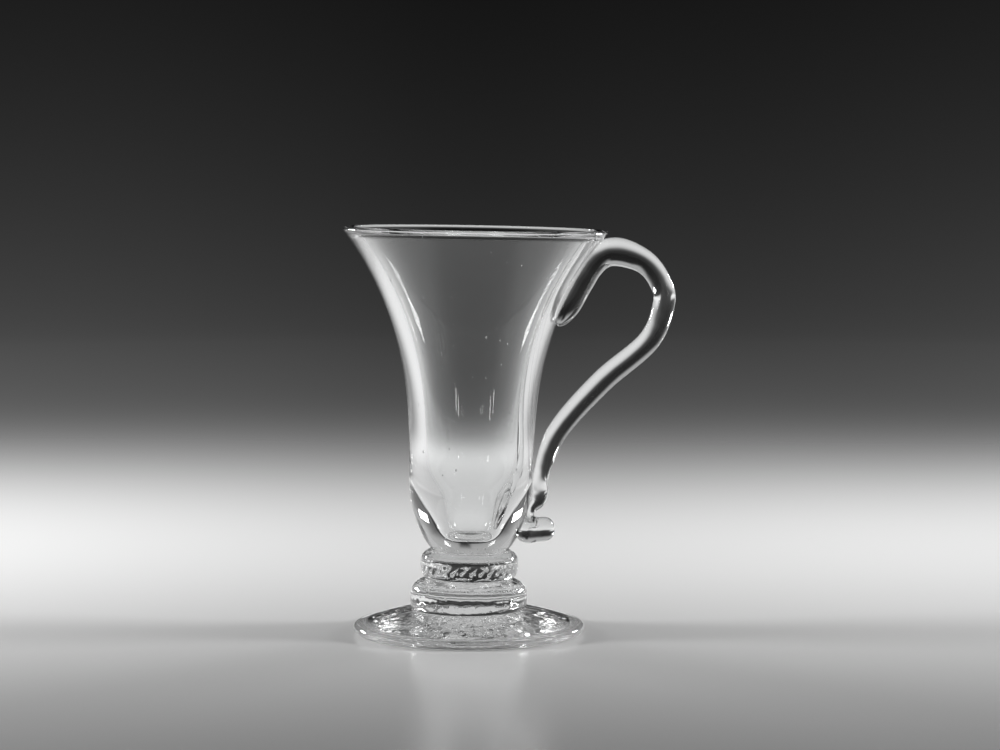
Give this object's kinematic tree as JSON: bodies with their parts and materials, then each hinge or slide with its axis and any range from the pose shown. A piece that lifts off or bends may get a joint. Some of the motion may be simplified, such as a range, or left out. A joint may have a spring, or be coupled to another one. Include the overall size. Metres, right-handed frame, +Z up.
{
  "type": "jelly glass",
  "caption": "Footed clear-glass cup with a flared bell bowl, an air-beaded knop over a ring knop, a low round foot and one drawn loop handle, for serving jelly or a small drink.",
  "frame": {"origin": "middle of the flat ring that the foot stands on", "axes": "+Z up along the stem, +X from the stem towards the handle, +Y away from the picture's viewer"},
  "size_m": [0.0912, 0.0726, 0.1119],
  "materials": {
    "clear_glass": "fire-polished, clear"
  },
  "bodies": {
    "root": {"foot": "clear_glass", "ring_knop": "clear_glass", "beaded_knop": "clear_glass", "bowl": "clear_glass", "handle_pad": "clear_glass", "handle_loop": "clear_glass", "handle_tail": "clear_glass"}
  },
  "joints": []
}
